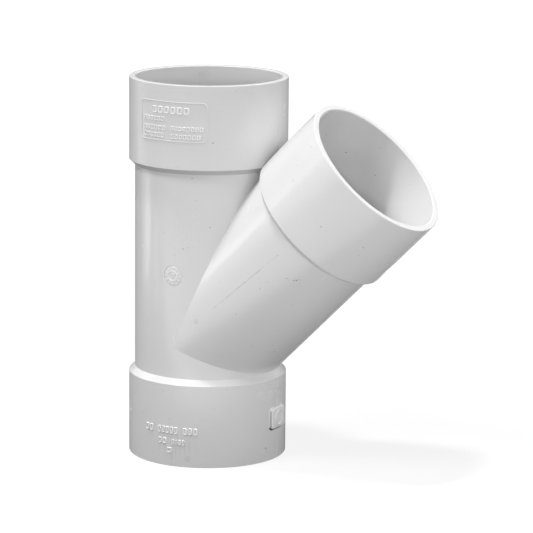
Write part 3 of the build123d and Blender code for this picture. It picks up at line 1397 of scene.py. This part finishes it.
# %% Side strips
STRIP_GLOW = 2.3
STRIP_CORNERS = [
    (0.45, -175), (0.45, -161), (0.74, -161), (0.74, -175),
    (0.44, -142), (0.44, -157), (0.62, -150), (0.62, -148),
]
strip_data = bpy.data.meshes.new("side_strips")
strip_points = [polar(distance, azimuth, MM) for distance, azimuth in STRIP_CORNERS]
strip_data.from_pydata(strip_points, [], [(0, 1, 2, 3), (4, 5, 6, 7)])
strip_glow = bpy.data.materials.new("strip_glow")
strip_glow.use_nodes = True
strip_shader = strip_glow.node_tree.nodes["Principled BSDF"]
strip_shader.inputs["Emission Color"].default_value = (1, 1, 1, 1)
strip_shader.inputs["Emission Strength"].default_value = STRIP_GLOW
only_in_gloss(strip_data, strip_glow)

# %% [markdown]
# ## The room
#
# A studio's walls throw a little light back from everywhere. The world does that at a fifth of
# white, and is plain white where the eye or the gloss looks straight at it.

# %% World
ROOM_LIGHT = 0.21
world = bpy.data.worlds.new("studio")
bpy.context.scene.world = world
world.use_nodes = True
tree = world.node_tree
strength = fade(tree, seen_by_eye(tree), 0.0, 1.0, ROOM_LIGHT, 1.0)
tree.nodes["Background"].inputs["Color"].default_value = (1, 1, 1, 1)
tree.links.new(strength, tree.nodes["Background"].inputs["Strength"])
print("room light", ROOM_LIGHT)

# %% [markdown]
# ## Lamps
#
# Shading says where the photo's lamps hung. The bright slope of the lower collar asks for one small
# lamp almost overhead, the left flanks for two soft boxes up on the left, and the walls that face the
# camera for low ones. They hang four metres off, so that light falls off little from foot to top. Each
# is given by its bearing, its height as an angle, its size and how bright its face is. A lamp whose
# mirror image the photo doesn't show has no gloss.

# %% Lamps
LAMP_DISTANCE = 4.0
LAMP_CENTRE = Vector((0.02, 0.0, 0.09))
LAMPS = {
    "overhead": (-136, 80, 0.37, 191.0),
    "key": (-110, 57, 0.93, 17.7),
    "key_left": (-130, 57, 0.93, 10.5),
    "low_right": (-30, 10, 0.93, 8.0),
    "low_left": (-155, 8, 0.93, 3.4),
    "left": (180, 30, 1.33, 1.95),
    "right": (0, 34, 1.33, 3.7),
    "right_back": (30, 34, 1.33, 5.4),
    "back": (90, 34, 1.33, 2.7),
}
SHINELESS = ("overhead", "back")


def hang(name, light, azimuth, elevation, aim, shines):
    """Hangs a lamp by its bearing and height angle in degrees, facing the point it is aimed at."""
    flat = math.cos(math.radians(elevation))
    way = Vector((
        flat * math.cos(math.radians(azimuth)),
        flat * math.sin(math.radians(azimuth)),
        math.sin(math.radians(elevation)),
    ))
    lamp = add_object(name, light)
    lamp.location = aim + way * LAMP_DISTANCE
    lamp.rotation_mode = "QUATERNION"
    lamp.rotation_quaternion = way.to_track_quat("Z", "Y")
    lamp.visible_camera = False
    lamp.visible_glossy = shines
    print(name, "at", tuple(round(v, 3) for v in lamp.location))


for name, (azimuth, elevation, size, brightness) in LAMPS.items():
    light = bpy.data.lights.new(name, "AREA")
    light.size = size
    light.energy = brightness * math.pi * size * size
    hang(name, light, azimuth, elevation, LAMP_CENTRE, name not in SHINELESS)

# %% [markdown]
# ## Two spots
#
# The lower half of the photo's fitting is lit a little more from the front than the upper half, and a
# bright patch with a crisp edge lies inside the branch's mouth. An area lamp can't be narrowed to one
# place, but a spot can. The low one fades before it reaches the upper collar. The other shines into
# the mouth from the bearing that puts the rim's shadow where the photo has it.

# %% Spots
SPOTS = {
    "low_spot": (-62, 6, (0.035, 0.0, 0.045), 4.2, 0.2, 287.0),
    "mouth_spot": (-132, 76, (0.098, 0.0, 0.112), 1.1, 0.06, 520.0),
}
for name, (azimuth, elevation, aim, spread, size, power) in SPOTS.items():
    light = bpy.data.lights.new(name, "SPOT")
    light.energy = power
    light.spot_size = math.radians(spread)
    light.spot_blend = 1.0
    light.shadow_soft_size = size
    hang(name, light, azimuth, elevation, Vector(aim), shines=False)

# %% [markdown]
# ## A glowing card
#
# White table in front of the fitting throws light up under the branch and shows in the walls as a
# bright band. A lamp has no such shape, so this is a flat card with light of its own. It misses the
# strip right before the foot, which is dark in the photo.

# %% Card
CARD_NEAR = 0.1375
CARD_FAR = 0.35
CARD_WIDE = 1.2
CARD_LIFT = MM
CARD_BRIGHTNESS = 1.0
card_light = bpy.data.lights.new("front_card", "AREA")
card_light.shape = "RECTANGLE"
card_light.size = CARD_WIDE
card_light.size_y = CARD_FAR - CARD_NEAR
card_light.energy = CARD_BRIGHTNESS * math.pi * CARD_WIDE * (CARD_FAR - CARD_NEAR)
card = add_object("front_card", card_light)
card_middle = Matrix.Translation((0, -(CARD_NEAR + CARD_FAR) / 2, CARD_LIFT))
card.matrix_world = turn_round @ card_middle @ Matrix.Rotation(math.pi, 4, "X")
card.visible_camera = False
print("card from", CARD_NEAR, "to", CARD_FAR, "m in front")

# %% [markdown]
# ## Finish
#
# The standard view shows greys as they are written.

# %% Finish
bpy.context.scene.view_settings.view_transform = "Standard"
